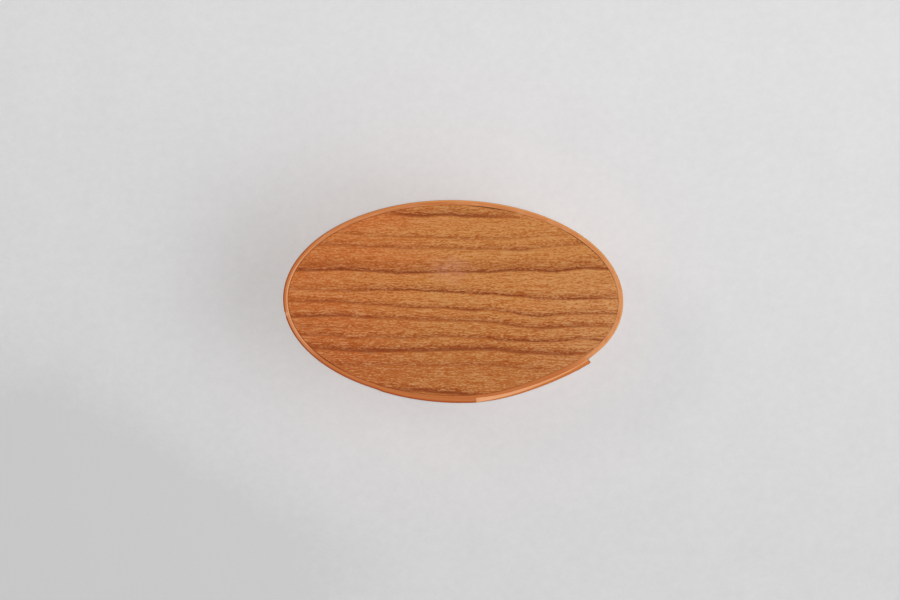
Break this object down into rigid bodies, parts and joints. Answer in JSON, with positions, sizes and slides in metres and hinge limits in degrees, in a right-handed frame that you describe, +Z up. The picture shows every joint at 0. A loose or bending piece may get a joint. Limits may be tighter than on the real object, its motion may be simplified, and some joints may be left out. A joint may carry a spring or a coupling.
{
  "type": "shaker oval box",
  "caption": "Oval bentwood box with a lift-off lid: bent bands lapped with bevelled swallowtail fingers, clinched tacks, and boards held by wooden pegs.",
  "frame": {"origin": "middle of the oval, on the underside of the bottom board", "axes": "+X along the box's length, the way the fingers point, -Y towards the lapped front, +Z up"},
  "size_m": [0.114, 0.0681, 0.0432],
  "materials": {
    "board": "oiled cherry, flat-sawn, satin",
    "band": "oiled cherry strip, satin, eased edges",
    "tack": "copper, dulled, hammered head",
    "peg": "hardwood end grain, flush"
  },
  "bodies": {
    "box": {"bottom_board": "board", "box_band": "band", "box_fingertip_tacks": "tack", "box_base_tacks": "tack", "bottom_pegs": "peg"},
    "lid": {"lid_board": "board", "lid_band": "band", "lid_fingertip_tack": "tack", "lid_base_tack": "tack", "lid_pegs": "peg"}
  },
  "joints": [
    {"name": "lid_lift", "type": "slide", "parent": "box", "child": "lid", "axis": [0, 0, 1], "range_m": [0, 0.06]}
  ]
}
